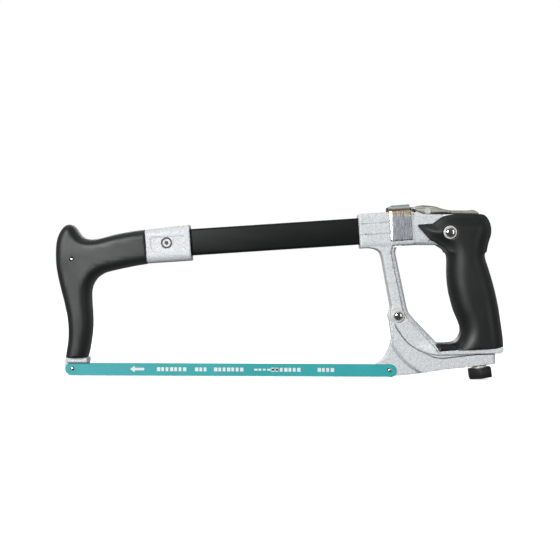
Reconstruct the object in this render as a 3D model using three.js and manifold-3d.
// A 300 mm hacksaw with a telescoping tube frame, a quick-release clamp and a screw-tensioned blade.
// Millimetres. X runs from the front grip to the rear grip along the blade, Y away from the blade's
// side of the saw, Z up. Outlines are drawn in the XZ plane with the front blade pin's axis at 0, 0,
// and the finished saw is then moved so that its box stands centred on the origin.
import * as THREE from "three";
import { mergeVertices } from "three/addons/utils/BufferGeometryUtils.js";
import Module from "manifold-3d";

const wasm = await Module();
wasm.setup();

// ---- driving dimensions ----
const GAP = 0.3; // between touching pieces
const BLADE_HOLE_SPACING = 300;
const BLADE_LENGTH = 313.4;
const BLADE_HEIGHT = 12.5;
const BLADE_THICKNESS = 0.65;
const BLADE_TOP = 5.65;
const BLADE_HOLE_RADIUS = 2.1;
const BLADE_PIN_RADIUS = 1.6;
const BLADE_SIDE = -2.4; // near face of the two tabs that the blade lies against
const TAB_FAR_SIDE = 6;
const BLADE_PIN_ENDS = [-5, 5.6];

const TUBE_HEIGHT = 25;
const TUBE_WIDTH = 12;
const TUBE_WALL = 1.5;
const TUBE_TILT = THREE.MathUtils.degToRad(4); // the tube rises towards the rear grip
const TUBE_MIDDLE = [195.7, 126]; // a point of the tube's axis, local u = 0
const TUBE_FRONT_END = -121; // along the tube's axis
const TUBE_REAR_END = 118;

const COLLAR = { front: -126.4, rear: -84.4, bottom: -17.3, top: 16.6, halfWidth: 11, corner: 6.5 };
const SOCKET = { front: 74.7, rear: 126, bottom: -16.1, top: 16.1, halfWidth: 10.3 };
const SOCKET_NECK = { length: 14, top: 4 }; // narrower stretch behind the socket, under the grip's nose
const SADDLE = {
  front: 103.1, rear: 123.3, bottom: -11.3, top: 22.4, halfWidth: 12.6, sheet: 1.9, corner: 4,
};
const YOKE = { front: 106.2, rear: 115.8, sheet: 1.5, earTop: -1.5, dropRoom: 2.9, sideRoom: 1.1 };
const SADDLE_STUD = { u: 111, v: -6, radius: 2.3 };

const FRAME_HALF = 9.5; // half thickness of the castings' bare stretches
const CORE_HALF = 6.5; // and of their cores inside the rubber
const FRONT_CORE_WIDTH = 13;
const FLANGE_HALF = 13;
const REAR_GRIP_HALF = 16;
const FRONT_GRIP_HALF = 14;

const PIVOT = [307, 51.6]; // tension arm's pivot pin
const PIVOT_RADIUS = 3;
const TONGUE_HALF = 4; // arm's tongue in the frame's fork
const TONGUE_RADIUS = 8.8;
const WASHER_RADIUS = 5.8;

const NOSE_PIT = { front: 311.5, rear: 324, half: 5, floor: 147.6 }; // room for the lever's nose
const LEVER_PIT = { front: 321.2, rear: 332.6, floor: 146.5 }; // and for its front end
const PIT_TOP = 160; // above everything on the casting
const LEVER_PIN = [334.7, 150.3];
const LEVER_PIN_RADIUS = 2;
const LEVER_PIN_HEAD = { radius: 2.9, thickness: 0.8 };
const LEVER_HALF = 8.2;
const LEVER_SHEET = 1.6;
const RIB_HALF = LEVER_HALF - LEVER_SHEET - GAP;

const GRIP_SCREW = [354.4, 129.9];
const SCREW_HEAD = { from: REAR_GRIP_HALF + 0.5, radius: 4.4, rise: 2 };
const SCREW = { radius: 2.5, threadRadius: 1.7, shoulder: -2, end: 10 };
const SCREW_PIT = { radius: 6.6, depth: 1.6 };
const GRIP_PIN = [1.4, 103.1];
const GRIP_PIN_RADIUS = 1.5;
const STEM_END = 10.8; // where the front grip's rubber ends above the blade

const BOLT_SEAT = [385.1, 5]; // where the tension bolt's axis leaves the arm's underside
const BOLT_TILT = THREE.MathUtils.degToRad(-7.5); // its lower end leans to the rear
const BOLT = { radius: 3.8, bottom: -9.1, top: 27 };
const BOLT_ROOM = 0.6; // round the bolt in the arm
const BOLT_SLOT = 5; // how far the arm's bolt hole is drawn out towards the rear
const INSERT = { radius: 6.3, bottom: 11.6, top: 22.3 };
const KNOB = { top: -2.7, bottom: -12.3, radius: 11.1, bevel: 1, turn: THREE.MathUtils.degToRad(20) };
const KNOB_WASHER = { radius: 9, bottom: -2.4, top: -0.4 };

const RIVET_PLACES = [-112, -95]; // along the tube's axis
const RIVET = { radius: 2.4, headRadius: 4.2, head: 1.4, top: -7.5, sink: 0.2 };
const THROUGH = 25; // a cutting bar's reach past the middle, beyond every piece's sides

// ---- materials ----
function material(color, roughness, metalness) {
  return new THREE.MeshStandardMaterial({ color, roughness, metalness });
}
const CAST = material(0xc9cdcf, 0.42, 0.7);
const STEEL = material(0xd4d6d8, 0.2, 1);
const STRAP = material(0xb9bfc8, 0.28, 1);
const LEVER_METAL = material(0xa3a193, 0.36, 0.9);
const RUBBER = material(0x2f3234, 0.6, 0);
const TUBE_PAINT = material(0x141516, 0.38, 0.2);
const PLASTIC = material(0x17181a, 0.45, 0);
const BLADE_PAINT = material(0x44b2b4, 0.45, 0.1);

// ---- geometry helpers ----
const tubeFrame = new THREE.Matrix4()
  .makeTranslation(TUBE_MIDDLE[0], 0, TUBE_MIDDLE[1])
  .multiply(new THREE.Matrix4().makeRotationY(-TUBE_TILT));
const boltFrame = new THREE.Matrix4()
  .makeTranslation(BOLT_SEAT[0], 0, BOLT_SEAT[1])
  .multiply(new THREE.Matrix4().makeRotationY(BOLT_TILT));

// A closed three.js geometry as a manifold-3d solid.
function solid(geometry) {
  const bare = geometry.clone();
  bare.deleteAttribute("normal");
  bare.deleteAttribute("uv");
  const merged = mergeVertices(bare, 1e-4);
  const vertProperties = new Float32Array(merged.attributes.position.array);
  const triVerts = new Uint32Array(merged.index.array);
  return new wasm.Manifold(new wasm.Mesh({ numProp: 3, vertProperties, triVerts }));
}

// A solid back as a named mesh.
function piece(name, body, look) {
  const mesh = body.getMesh();
  const positions = new Float32Array(mesh.numVert * 3);
  for (let i = 0; i < mesh.numVert; i++) {
    positions.set(mesh.vertProperties.subarray(i * mesh.numProp, i * mesh.numProp + 3), i * 3);
  }
  const geometry = new THREE.BufferGeometry();
  geometry.setAttribute("position", new THREE.BufferAttribute(positions, 3));
  geometry.setIndex(new THREE.BufferAttribute(mesh.triVerts, 1));
  const faceted = geometry.toNonIndexed();
  faceted.computeVertexNormals();
  const made = new THREE.Mesh(faceted, look);
  made.name = name;
  return made;
}

const join = (first, ...others) => others.reduce((whole, other) => whole.add(other), first);
const cut = (first, ...others) => others.reduce((whole, other) => whole.subtract(other), first);

// An outline from stretches: a plain point is a straight run to it, and a list of points inside the
// list is one smooth curve through them.
function outline(stretches) {
  const shape = new THREE.Shape();
  const start = Array.isArray(stretches[0][0]) ? stretches[0][0] : stretches[0];
  shape.moveTo(...start);
  for (const stretch of stretches) {
    if (Array.isArray(stretch[0])) {
      const [first, ...rest] = stretch;
      if (!shape.currentPoint.equals(new THREE.Vector2(...first))) shape.lineTo(...first);
      shape.splineThru(rest.map((p) => new THREE.Vector2(...p)));
    } else if (stretch !== start) {
      shape.lineTo(...stretch);
    }
  }
  shape.closePath();
  return shape;
}

// An outline in the XZ plane made thick along Y, from y0 to y1. grow moves its walls outwards, and
// round bevels its rims.
function slab(shape, y0, y1, options = {}) {
  const { grow = 0, round = 0, depthRound = round, steps = 2, detail = 2 } = options;
  const geometry = new THREE.ExtrudeGeometry(shape, {
    depth: y1 - y0 - 2 * depthRound,
    curveSegments: detail,
    bevelEnabled: true,
    bevelThickness: depthRound,
    bevelSize: round,
    bevelOffset: grow - round,
    bevelSegments: round ? steps : 0,
  });
  geometry.rotateX(Math.PI / 2).translate(0, y1 - depthRound, 0);
  return solid(geometry);
}

const both = (half) => [-half, half];

function box(x0, x1, y0, y1, z0, z1) {
  const geometry = new THREE.BoxGeometry(x1 - x0, y1 - y0, z1 - z0);
  return solid(geometry.translate((x0 + x1) / 2, (y0 + y1) / 2, (z0 + z1) / 2));
}

// A round bar along Y.
function barY([x, z], radius, y0, y1, segments = 24) {
  const geometry = new THREE.CylinderGeometry(radius, radius, y1 - y0, segments);
  return solid(geometry.translate(x, (y0 + y1) / 2, z));
}

const throughBar = (at, radius) => barY(at, radius, ...both(THROUGH));

// A round bar along Z, for the bolt's own frame and the tube's rivets.
function barZ(x, radius, z0, z1, segments = 24) {
  const geometry = new THREE.CylinderGeometry(radius, radius, z1 - z0, segments);
  return solid(geometry.rotateX(Math.PI / 2).translate(x, 0, (z0 + z1) / 2));
}

// A ring along Y.
function ringY([x, z], inner, outer, y0, y1) {
  return cut(barY([x, z], outer, y0, y1, 32), barY([x, z], inner, y0 - 1, y1 + 1));
}

// A turned piece about an axis parallel to Y: profile holds [radius, y] pairs from axis to axis.
function turnedY([x, z], profile) {
  const points = profile.map(([radius, y]) => new THREE.Vector2(radius, y));
  return solid(new THREE.LatheGeometry(points, 28).translate(x, 0, z));
}

// A bar of even width in the XZ plane along a smooth line of points.
function ribbon(points, width, divisions = 22) {
  const line = new THREE.SplineCurve(points.map((p) => new THREE.Vector2(...p)));
  const near = [];
  const far = [];
  for (let i = 0; i <= divisions; i++) {
    const at = line.getPoint(i / divisions);
    const along = line.getTangent(i / divisions);
    const side = new THREE.Vector2(-along.y, along.x).multiplyScalar(width / 2);
    near.push(at.clone().add(side));
    far.unshift(at.clone().sub(side));
  }
  return new THREE.Shape([...near, ...far]);
}

const inTube = (body) => body.transform(tubeFrame.elements);
const inBolt = (body) => body.transform(boltFrame.elements);

// ---- outlines ----
const frontGripOutline = outline([
  [[76.5, 100.6], [71.4, 99.6], [57.2, 97.2], [40.2, 93.5], [28.8, 90.2], [21.2, 84.2],
    [17.3, 75], [17.3, 63], [18.5, 48.7], [18.1, 34.5], [15.5, 17.4], [14, 11.2], [12.7, 6]],
  [[-6.7, 6], [-6, 11.2], [-3.7, 28.7], [-4.3, 45.8], [-7.6, 62.9], [-12, 80], [-15.7, 99], [-15.3, 119.9],
    [-10.3, 131.9], [-4.6, 136.4], [1, 134.9], [6.4, 127.6], [12, 123.3], [22.9, 122.9],
    [40, 127.3], [57.1, 130.5], [68.3, 131.8], [73.5, 132.4]],
]);

const frontCoreLine = [
  [76, 115.5], [45, 111.5], [22, 107], [7.5, 99], [4, 84], [6, 64], [7.7, 44], [6.8, 25], [4.2, 8.5],
];

const frontTipOutline = outline([
  [14.9, 10.8],
  [-5.8, 10.8],
  [[-5.8, 10.8], [-7.3, 5], [-7.6, 0], [-6.4, -3.6], [-3, -5.8]],
  [10, -5.8],
  [[10, -5.8], [13.6, -4], [15, 0]],
]);

// Rear casting: the whole plate, under the rubber too.
const framePlate = outline([
  [271.8, 115.4],
  [[279.5, 115.8], [286.4, 114.4], [290.4, 111.6], [292.4, 106]],
  [300.9, 60.6],
  [[300, 55], [300.4, 49.4], [304.2, 44.6]],
  [[307.1, 39], [310.5, 33.7], [314.3, 29], [318.1, 25.2], [321.9, 22.4], [326.2, 20], [331, 17.7],
    [338.1, 14.1], [342.9, 12.7], [347.6, 12], [352.3, 12.3]],
  [367.6, 14.3],
  [383.3, 16],
  [398.8, 16.9],
  [[402.6, 16.9], [404.9, 18.6], [405.6, 21.6]],
  [402.5, 24],
  [[403.1, 30], [400.5, 49.6], [396.1, 72.4], [389.8, 95.2], [385.6, 112.4], [388.5, 129.5],
    [386.7, 138], [380.5, 143.2]],
  [354, 142.6],
  [348, 147.1],
  [321, 147.1],
  [269.5, 146.8],
]);

const fingerHole = outline([
  [[312.6, 118.7], [307.2, 117.3], [304.7, 112.5], [305.6, 106]],
  [315.6, 59.2],
  [[317.3, 54.9], [321.4, 50]],
  [343.2, 27.3],
  [347.5, 21],
  [[363, 21.6], [369, 26], [371.4, 36], [367.3, 50.5], [361.7, 67], [358.6, 84], [358, 101],
    [356.5, 112], [350.5, 118.7]],
]);

const flangeOutline = outline([
  [352, 12.4],
  [367.6, 14.3],
  [383.3, 16],
  [398.8, 16.9],
  [[402.6, 16.9], [404.9, 18.6], [405.6, 21.6]],
  [348, 18.1],
]);

const rearGripOutline = outline([
  [324.4, 136],
  [325.4, 137.6],
  [[332, 137.8], [338.6, 138.5], [341.6, 140.5], [345.2, 143.2], [349.9, 145.5], [355.3, 146.7],
    [362, 147.3]],
  [[380.6, 147.6], [386.2, 147.2], [390.2, 144.2], [393.3, 137.5], [393.9, 129.4], [390.8, 118],
    [389.9, 108], [393.9, 95.2], [398.9, 78.1], [402.7, 61], [405.5, 44], [407.4, 30], [407.8, 22.4]],
  [345.6, 18.4],
  [341.6, 24.6],
  [[343.6, 25.8], [356.5, 26], [363.4, 28.6], [367.1, 36], [365.9, 43.8], [361.1, 55.1],
    [357.7, 66.5], [355.2, 77.9], [353.9, 92], [353.9, 106.4], [351.6, 114], [344.9, 118.7],
    [336, 123.5], [330.7, 127.1], [327.2, 130.7]],
]);

const armBody = outline([
  [[303.5, 43.8], [302.6, 38], [302.9, 32.1], [302.3, 26], [301.3, 24]],
  [[304.1, 18.3], [308.9, 12], [314.8, 6.2], [319.6, 2.4], [325.6, -1.5]],
  [[330, -2], [336, -1], [342, 0], [356, 2]],
  [370, 3.4],
  [390.5, 5.9],
  [398, 6.8],
  [399.4, 8.2],
  [399.1, 15.9],
  [383.3, 15.2],
  [367.6, 13.5],
  [[352.3, 11.5], [347.6, 11.3], [342.8, 11.9], [337.9, 13.4], [330.7, 16.9], [325.8, 19.3],
    [321.5, 21.7], [317.6, 24.5], [313.7, 28.4], [309.8, 33.2], [306.4, 38.5]],
]);

const armTab = outline([
  [[301.9, 30], [300.5, 23.5], [298.2, 18], [294.2, 11.1], [288, 6], [285.2, 1], [286.4, -4],
    [291, -6]],
  [307.7, -5.4],
  [330, -3],
  [332, 6],
  [312, 16],
]);

const tongueNeck = outline([[299, 50], [302, 30], [311, 26], [316, 30], [316, 49]]);
const forkMouth = outline([[290, 53], [290, 18], [308, 25.3], [316.6, 28.6], [316.6, 50]]);

const leverSide = outline([
  [322.6, 150.8],
  [[320.9, 152], [321.2, 153.6], [323.4, 154.8]],
  [[328.5, 155.7], [334.1, 155.5], [341.3, 154.7], [348.2, 152.6], [354.6, 151.2]],
  [356, 151.2],
  [356, 148.3],
  [329.5, 147.9],
]);
const leverHollow = outline([
  [318, 148],
  [[322, 152], [329, 153.9], [335, 154], [341, 153.2], [348, 151.1], [358, 149.6]],
  [358, 140],
  [318, 140],
]);
const leverTail = outline([
  [350, 151.6],
  [354, 151.3],
  [372.5, 151.3],
  [[376.1, 152], [378.5, 151.8], [381.8, 150.4], [384, 148.7]],
  [383, 148.1],
  [352, 148.1],
]);
const leverNose = outline([[316, 154], [316, 152.4], [318, 152], [324, 151], [328, 153], [324, 154.6]]);
const pivotRib = outline([
  [327.5, 140],
  [331.6, 149.2],
  [[331.9, 152.4], [334.7, 153.7], [337.5, 152.4]],
  [337.8, 149.2],
  [342.5, 140],
]);

// ---- front half ----
// The collar is a block with rounded top and bottom, hollowed for the tube.
function collarBody() {
  const { front, rear, bottom, top, halfWidth, corner } = COLLAR;
  const section = new THREE.Shape();
  section.moveTo(-halfWidth, bottom + corner);
  section.absarc(-halfWidth + corner, bottom + corner, corner, Math.PI, 1.5 * Math.PI);
  section.absarc(halfWidth - corner, bottom + corner, corner, 1.5 * Math.PI, 2 * Math.PI);
  section.absarc(halfWidth - corner, top - corner, corner, 0, 0.5 * Math.PI);
  section.absarc(-halfWidth + corner, top - corner, corner, 0.5 * Math.PI, Math.PI);
  const geometry = new THREE.ExtrudeGeometry(section, {
    depth: rear - front,
    curveSegments: 6,
    bevelEnabled: false,
  });
  // section x becomes Y and section y becomes Z, with the length along the tube
  geometry.rotateY(Math.PI / 2).rotateX(Math.PI / 2).translate(front, 0, 0);
  return solid(geometry);
}

// The room for one rivet and its head in the collar.
function rivetRoom(u) {
  return join(
    barZ(u, RIVET.radius + GAP, COLLAR.bottom - 1, RIVET.top),
    barZ(u, RIVET.headRadius + GAP, COLLAR.bottom - 1, COLLAR.bottom + RIVET.head + GAP),
  );
}

function frontCasting() {
  const collar = inTube(cut(collarBody(), ...RIVET_PLACES.map(rivetRoom)));
  const core = slab(ribbon(frontCoreLine, FRONT_CORE_WIDTH), ...both(CORE_HALF));
  const tip = slab(frontTipOutline, BLADE_SIDE, TAB_FAR_SIDE, { detail: 3 });
  const ferrule = box(-5.8, 14.9, ...both(8.5), 6.9, STEM_END);
  return cut(
    join(collar, core, tip, ferrule),
    inTube(tubeFilling(TUBE_FRONT_END - GAP, COLLAR.rear + 1, -GAP)),
    throughBar([0, 0], BLADE_PIN_RADIUS + GAP),
    throughBar(GRIP_PIN, GRIP_PIN_RADIUS + GAP),
  );
}

function frontGrip() {
  const rubber = slab(frontGripOutline, ...both(FRONT_GRIP_HALF), { round: 1.2, depthRound: 3 });
  const core = slab(ribbon(frontCoreLine, FRONT_CORE_WIDTH + 2 * GAP), ...both(CORE_HALF + GAP));
  const collarSide = inTube(box(COLLAR.front - GAP, 0, ...both(THROUGH), ...both(40)));
  const below = box(...both(30), ...both(THROUGH), 0, STEM_END + GAP);
  return cut(rubber, core, collarSide, below, throughBar(GRIP_PIN, GRIP_PIN_RADIUS + GAP));
}

// A bar of the tube's own section, smaller by inset on every side.
function tubeFilling(u0, u1, inset) {
  return box(u0, u1, ...both(TUBE_WIDTH / 2 - inset), ...both(TUBE_HEIGHT / 2 - inset));
}

function tubeBody() {
  return cut(
    tubeFilling(TUBE_FRONT_END, TUBE_REAR_END, 0),
    tubeFilling(TUBE_FRONT_END - 1, TUBE_REAR_END + 1, TUBE_WALL),
    ...RIVET_PLACES.map((u) => barZ(u, RIVET.radius + GAP, -TUBE_HEIGHT, 0)),
  );
}

function tubeRivet(u) {
  const bottom = COLLAR.bottom + RIVET.sink;
  return join(
    barZ(u, RIVET.radius, bottom, RIVET.top - 0.5),
    barZ(u, RIVET.headRadius, bottom, COLLAR.bottom + RIVET.head),
  );
}

function tubePlug() {
  const fit = TUBE_WALL + GAP;
  const lip = 0.6;
  return join(
    tubeFilling(TUBE_REAR_END - 9, TUBE_REAR_END + 1, fit),
    tubeFilling(TUBE_REAR_END + GAP, TUBE_REAR_END + 2, lip),
  );
}

// ---- blade and its pins ----
function bladeBody() {
  const bottom = BLADE_TOP - BLADE_HEIGHT;
  const front = (BLADE_HOLE_SPACING - BLADE_LENGTH) / 2 + 0.1;
  const rear = front + BLADE_LENGTH;
  const half = BLADE_HEIGHT / 2;
  const corner = 5; // round at the front's top, cut off at its foot
  const shape = new THREE.Shape();
  shape.moveTo(front + corner - 1, bottom);
  shape.lineTo(rear - half, bottom);
  shape.absarc(rear - half, BLADE_TOP - half, half, -Math.PI / 2, Math.PI / 2);
  shape.lineTo(front + corner, BLADE_TOP);
  shape.absarc(front + corner, BLADE_TOP - corner, corner, Math.PI / 2, Math.PI);
  shape.lineTo(front, bottom + corner - 1);
  const face = BLADE_SIDE - GAP;
  return cut(
    slab(shape, face - BLADE_THICKNESS, face, { detail: 10 }),
    throughBar([0, 0], BLADE_HOLE_RADIUS),
    throughBar([BLADE_HOLE_SPACING, 0], BLADE_HOLE_RADIUS),
  );
}

function bladePin(x) {
  const [near, far] = BLADE_PIN_ENDS;
  const round = 0.5;
  return turnedY([x, 0], [
    [0, near], [BLADE_PIN_RADIUS - round, near], [BLADE_PIN_RADIUS, near + round],
    [BLADE_PIN_RADIUS, far], [0, far],
  ]);
}

// ---- rear half ----
// The casting's plate with its finger opening. Under the rubber it is only as thick as its core. grow
// makes it bigger all round, as the tool that cuts its room in the grip.
function castingPlate(grow) {
  const thick = slab(framePlate, ...both(FRAME_HALF + grow), { grow });
  const thin = slab(framePlate, ...both(CORE_HALF + grow), { grow });
  const covered = slab(rearGripOutline, ...both(THROUGH), { grow: -2.5 - grow });
  const finger = slab(fingerHole, ...both(THROUGH), { grow: -grow });
  const flange = slab(flangeOutline, ...both(FLANGE_HALF + grow), { grow });
  return cut(join(cut(thick, covered), thin, flange), finger);
}

function socketBody() {
  const { front, rear, bottom, top, halfWidth } = SOCKET;
  return join(box(front, rear, ...both(halfWidth), bottom, top), socketNeck(0));
}

// The casting goes on behind the socket, narrower and under the grip's nose.
function socketNeck(grow) {
  const { rear, bottom } = SOCKET;
  const { length, top } = SOCKET_NECK;
  const floor = bottom + 1 - grow;
  return box(rear - 1 - grow, rear + length + grow, ...both(FRAME_HALF + grow), floor, top + grow);
}

// The room in the socket for the yoke, its ears and their drop when the lever is lifted.
function yokeRoom() {
  const { front, rear, sheet, earTop, dropRoom, sideRoom } = YOKE;
  const { u, v, radius } = SADDLE_STUD;
  const side = TUBE_WIDTH / 2 + sheet + sideRoom;
  const floor = -TUBE_HEIGHT / 2 - sheet - 2 * GAP - dropRoom;
  const room = radius + GAP;
  return join(
    box(front - GAP, rear + GAP, ...both(side), floor, earTop + GAP),
    box(u - room, u + room, ...both(THROUGH), v - room - dropRoom, v + room),
  );
}

// The insert's seat, open below, and the clear hole above it for the end of the bolt.
function insertRoom() {
  return inBolt(join(
    barZ(0, INSERT.radius + GAP, INSERT.bottom - 6, INSERT.top + GAP),
    barZ(0, BOLT.radius + GAP, INSERT.top - 1, BOLT.top + 9),
  ));
}

function rearCasting() {
  const nosePit = box(NOSE_PIT.front, NOSE_PIT.rear, ...both(NOSE_PIT.half), NOSE_PIT.floor, PIT_TOP);
  const leverPit = box(LEVER_PIT.front, LEVER_PIT.rear, ...both(THROUGH), LEVER_PIT.floor, PIT_TOP);
  const rib = slab(pivotRib, ...both(RIB_HALF), { detail: 4 });
  const fork = join(
    slab(forkMouth, ...both(TONGUE_HALF + GAP)),
    barY(PIVOT, TONGUE_RADIUS + 0.5, ...both(TONGUE_HALF + GAP), 40),
  );
  return cut(
    join(cut(join(castingPlate(0), inTube(socketBody())), nosePit, leverPit), rib),
    inTube(tubeFilling(SOCKET.front - 1, TUBE_REAR_END + 4.5, -GAP)),
    inTube(yokeRoom()),
    fork,
    insertRoom(),
    throughBar(PIVOT, PIVOT_RADIUS + GAP),
    throughBar(LEVER_PIN, LEVER_PIN_RADIUS + GAP),
    throughBar(GRIP_SCREW, SCREW.radius + GAP),
  );
}

function rearGrip() {
  const { radius, depth } = SCREW_PIT;
  const rubber = slab(rearGripOutline, ...both(REAR_GRIP_HALF), { round: 1.4, depthRound: 2 });
  const socket = inTube(box(0, SOCKET.rear + GAP, ...both(SOCKET.halfWidth + GAP), ...both(30)));
  return cut(
    rubber,
    castingPlate(GAP),
    socket,
    inTube(socketNeck(GAP)),
    slab(pivotRib, ...both(RIB_HALF + GAP), { grow: GAP }),
    insertRoom(),
    throughBar(GRIP_SCREW, SCREW.radius + GAP),
    barY(GRIP_SCREW, radius, -THROUGH, -REAR_GRIP_HALF + depth),
    barY(GRIP_SCREW, radius, REAR_GRIP_HALF - depth, THROUGH),
  );
}

// side is -1 on the blade's side and 1 on the other.
function gripWasher(side) {
  const faces = [REAR_GRIP_HALF - SCREW_PIT.depth + GAP, REAR_GRIP_HALF + 0.2].map((y) => side * y);
  const [y0, y1] = [Math.min(...faces), Math.max(...faces)];
  return ringY(GRIP_SCREW, SCREW.radius + GAP, SCREW_PIT.radius - 0.4, y0, y1);
}

// The grip screw's thin threaded end runs in the bore of a sleeve nut put in from the other side.
function gripScrew() {
  const { from, radius, rise } = SCREW_HEAD;
  return turnedY(GRIP_SCREW, [
    [0, -from - rise], [radius * 0.55, -from - rise * 0.85],
    [radius * 0.87, -from - rise * 0.5], [radius, -from],
    [SCREW.radius, -from], [SCREW.radius, SCREW.shoulder], [SCREW.threadRadius, SCREW.shoulder],
    [SCREW.threadRadius, SCREW.end], [0, SCREW.end],
  ]);
}

function gripNut() {
  const { from, radius, rise } = SCREW_HEAD;
  const bore = SCREW.threadRadius + GAP;
  return turnedY(GRIP_SCREW, [
    [0, SCREW.end + 1], [bore, SCREW.end + 1],
    [bore, SCREW.shoulder + GAP], [SCREW.radius, SCREW.shoulder + GAP],
    [SCREW.radius, from], [radius, from],
    [radius * 0.87, from + rise * 0.5], [radius * 0.55, from + rise * 0.85],
    [0, from + rise],
  ]);
}

const PIVOT_SEAT = FRAME_HALF + 1.6; // outer side of the pivot's two washers
const pivotWasher = (y0) => ringY(PIVOT, PIVOT_RADIUS + GAP, WASHER_RADIUS, y0, y0 + 1);

function pivotPin() {
  const far = PIVOT_SEAT + 2.6;
  return turnedY(PIVOT, [
    [0, -PIVOT_SEAT - 2.2], [2.4, -PIVOT_SEAT - 1.8], [3.8, -PIVOT_SEAT - 1], [4.4, -PIVOT_SEAT],
    [PIVOT_RADIUS, -PIVOT_SEAT], [PIVOT_RADIUS, far], [0, far],
  ]);
}

// A hexagon nut or knob body along an axis through the outline's own origin.
function hexagon(radius, turn = 0) {
  const corners = Array.from({ length: 6 }, (_, i) => {
    const angle = turn + (i * Math.PI) / 3;
    return new THREE.Vector2(radius * Math.cos(angle), radius * Math.sin(angle));
  });
  return new THREE.Shape(corners);
}

function pivotNut() {
  const nut = slab(hexagon(5.4), PIVOT_SEAT, PIVOT_SEAT + 3.2).translate([PIVOT[0], 0, PIVOT[1]]);
  return cut(nut, throughBar(PIVOT, PIVOT_RADIUS + GAP));
}

function leverPin() {
  const { radius, thickness } = LEVER_PIN_HEAD;
  const inner = LEVER_HALF + GAP;
  const outer = inner + thickness;
  return turnedY(LEVER_PIN, [
    [0, -outer], [radius, -outer], [radius, -inner], [LEVER_PIN_RADIUS, -inner],
    [LEVER_PIN_RADIUS, inner], [radius, inner], [radius, outer], [0, outer],
  ]);
}

function insertBody() {
  const bore = barZ(0, BOLT.radius + GAP, 0, BOLT.top);
  return cut(barZ(0, INSERT.radius, INSERT.bottom, INSERT.top), bore);
}

// ---- tension arm ----
function tensionArm() {
  const tongue = join(
    barY(PIVOT, TONGUE_RADIUS, ...both(TONGUE_HALF), 40),
    slab(tongueNeck, ...both(TONGUE_HALF)),
  );
  const tab = slab(armTab, BLADE_SIDE, TAB_FAR_SIDE);
  const room = BOLT.radius + BOLT_ROOM;
  const slot = inBolt(join(
    barZ(0, room, -5, 20),
    box(0, BOLT_SLOT, ...both(room), -5, 20),
    barZ(BOLT_SLOT, room, -5, 20),
  ));
  return cut(
    join(slab(armBody, ...both(FRAME_HALF)), tongue, tab),
    throughBar(PIVOT, PIVOT_RADIUS + GAP),
    throughBar([BLADE_HOLE_SPACING, 0], BLADE_PIN_RADIUS + GAP),
    slot,
  );
}

function knobBody() {
  const { top, bottom, radius, bevel, turn } = KNOB;
  const geometry = new THREE.ExtrudeGeometry(hexagon(radius, turn), {
    depth: top - bottom - 2 * bevel,
    bevelThickness: bevel,
    bevelSize: bevel,
    bevelOffset: -bevel,
    bevelSegments: 1,
  });
  const bore = barZ(0, BOLT.radius + GAP, BOLT.bottom - GAP, 0);
  return cut(solid(geometry.translate(0, 0, bottom + bevel)), bore);
}

function knobWasher() {
  const { radius, bottom, top } = KNOB_WASHER;
  return cut(barZ(0, radius, bottom, top, 32), barZ(0, BOLT.radius + GAP, bottom - 1, top + 1));
}

// ---- clamp ----
function saddleBody() {
  const { front, rear, bottom, top, halfWidth, sheet, corner } = SADDLE;
  const section = (inset) => {
    const wide = halfWidth - inset;
    const high = top - inset;
    const radius = corner - inset;
    const low = bottom - inset * 10;
    const shape = new THREE.Shape();
    shape.moveTo(-wide, low);
    shape.lineTo(wide, low);
    shape.absarc(wide - radius, high - radius, radius, 0, 0.5 * Math.PI);
    shape.absarc(-wide + radius, high - radius, radius, 0.5 * Math.PI, Math.PI);
    return shape;
  };
  const along = (shape, from, to) => {
    const options = { depth: to - from, curveSegments: 6, bevelEnabled: false };
    const geometry = new THREE.ExtrudeGeometry(shape, options);
    return solid(geometry.rotateY(Math.PI / 2).rotateX(Math.PI / 2).translate(from, 0, 0));
  };
  const strap = cut(along(section(0), front, rear), along(section(sheet), front - 1, rear + 1));
  const studs = [-1, 1].map((side) => {
    const ends = [TUBE_WIDTH / 2 + GAP + 0.2, halfWidth - sheet / 2].map((y) => side * y);
    const [y0, y1] = [Math.min(...ends), Math.max(...ends)];
    return barY([SADDLE_STUD.u, SADDLE_STUD.v], SADDLE_STUD.radius, y0, y1);
  });
  return join(strap, ...studs);
}

function yokeBody() {
  const { front, rear, sheet, earTop } = YOKE;
  const inside = TUBE_WIDTH / 2 + GAP + 0.1;
  const floor = -TUBE_HEIGHT / 2 - 2 * GAP;
  const channel = cut(
    box(front, rear, ...both(inside + sheet), floor - sheet, earTop),
    box(front - 1, rear + 1, ...both(inside), floor, earTop + 1),
  );
  return cut(channel, throughBar([SADDLE_STUD.u, SADDLE_STUD.v], SADDLE_STUD.radius + GAP));
}

function leverBody() {
  const hollow = slab(leverHollow, ...both(LEVER_HALF - LEVER_SHEET));
  const skin = cut(slab(leverSide, ...both(LEVER_HALF)), hollow);
  return cut(
    join(skin, slab(leverTail, ...both(4.5)), slab(leverNose, ...both(4))),
    throughBar(LEVER_PIN, LEVER_PIN_RADIUS + GAP),
  );
}

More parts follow.
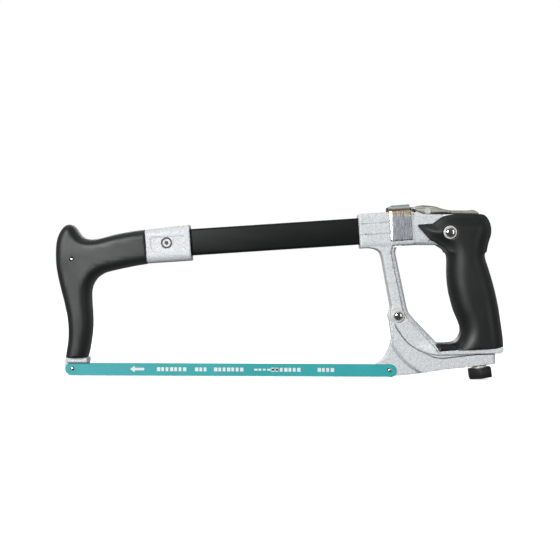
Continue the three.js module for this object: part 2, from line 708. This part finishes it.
// ---- assembly ----
const hacksaw = new THREE.Group();
const upright = new THREE.Group(); // pieces drawn straight in the saw's frame
const tubeLine = new THREE.Group(); // pieces square to the tilted tube
const boltLine = new THREE.Group(); // pieces on the leaning tension bolt
tubeLine.position.set(TUBE_MIDDLE[0], 0, TUBE_MIDDLE[1]);
tubeLine.rotation.y = -TUBE_TILT;
boltLine.position.set(BOLT_SEAT[0], 0, BOLT_SEAT[1]);
boltLine.rotation.y = BOLT_TILT;

upright.add(
  piece("front_casting", frontCasting(), CAST),
  piece("front_grip", frontGrip(), RUBBER),
  piece("front_grip_pin", barY(GRIP_PIN, GRIP_PIN_RADIUS, ...both(FRONT_GRIP_HALF - 0.1), 20), STEEL),
  piece("front_blade_pin", bladePin(0), STEEL),
  piece("blade", bladeBody(), BLADE_PAINT),
  piece("rear_blade_pin", bladePin(BLADE_HOLE_SPACING), STEEL),
  piece("rear_casting", rearCasting(), CAST),
  piece("rear_grip", rearGrip(), RUBBER),
  piece("grip_screw", gripScrew(), STEEL),
  piece("grip_nut", gripNut(), STEEL),
  piece("grip_screw_washer", gripWasher(-1), STEEL),
  piece("grip_nut_washer", gripWasher(1), STEEL),
  piece("tension_arm", tensionArm(), CAST),
  piece("pivot_pin", pivotPin(), STEEL),
  piece("pivot_washer", pivotWasher(-FRAME_HALF - GAP - 1), STEEL),
  piece("pivot_nut_washer", pivotWasher(FRAME_HALF + GAP), STEEL),
  piece("pivot_nut", pivotNut(), STEEL),
  piece("quick_release_lever", leverBody(), LEVER_METAL),
  piece("lever_pin", leverPin(), STEEL),
);
tubeLine.add(
  piece("frame_tube", tubeBody(), TUBE_PAINT),
  piece("tube_end_plug", tubePlug(), PLASTIC),
  piece("clamp_saddle", saddleBody(), STRAP),
  piece("clamp_yoke", yokeBody(), STEEL),
  ...RIVET_PLACES.map((u, i) => piece(`collar_rivet_${i + 1}`, tubeRivet(u), STEEL)),
);
boltLine.add(
  piece("threaded_insert", insertBody(), STEEL),
  piece("tension_bolt", barZ(0, BOLT.radius, BOLT.bottom, BOLT.top), STEEL),
  piece("tension_knob", knobBody(), PLASTIC),
  piece("knob_washer", knobWasher(), STEEL),
);
hacksaw.add(upright, tubeLine, boltLine);

// The origin is under the middle of the saw, level with its lowest point.
const bounds = new THREE.Box3().setFromObject(hacksaw);
const middle = bounds.getCenter(new THREE.Vector3());
hacksaw.position.set(-middle.x, -middle.y, -bounds.min.z);

export default hacksaw;
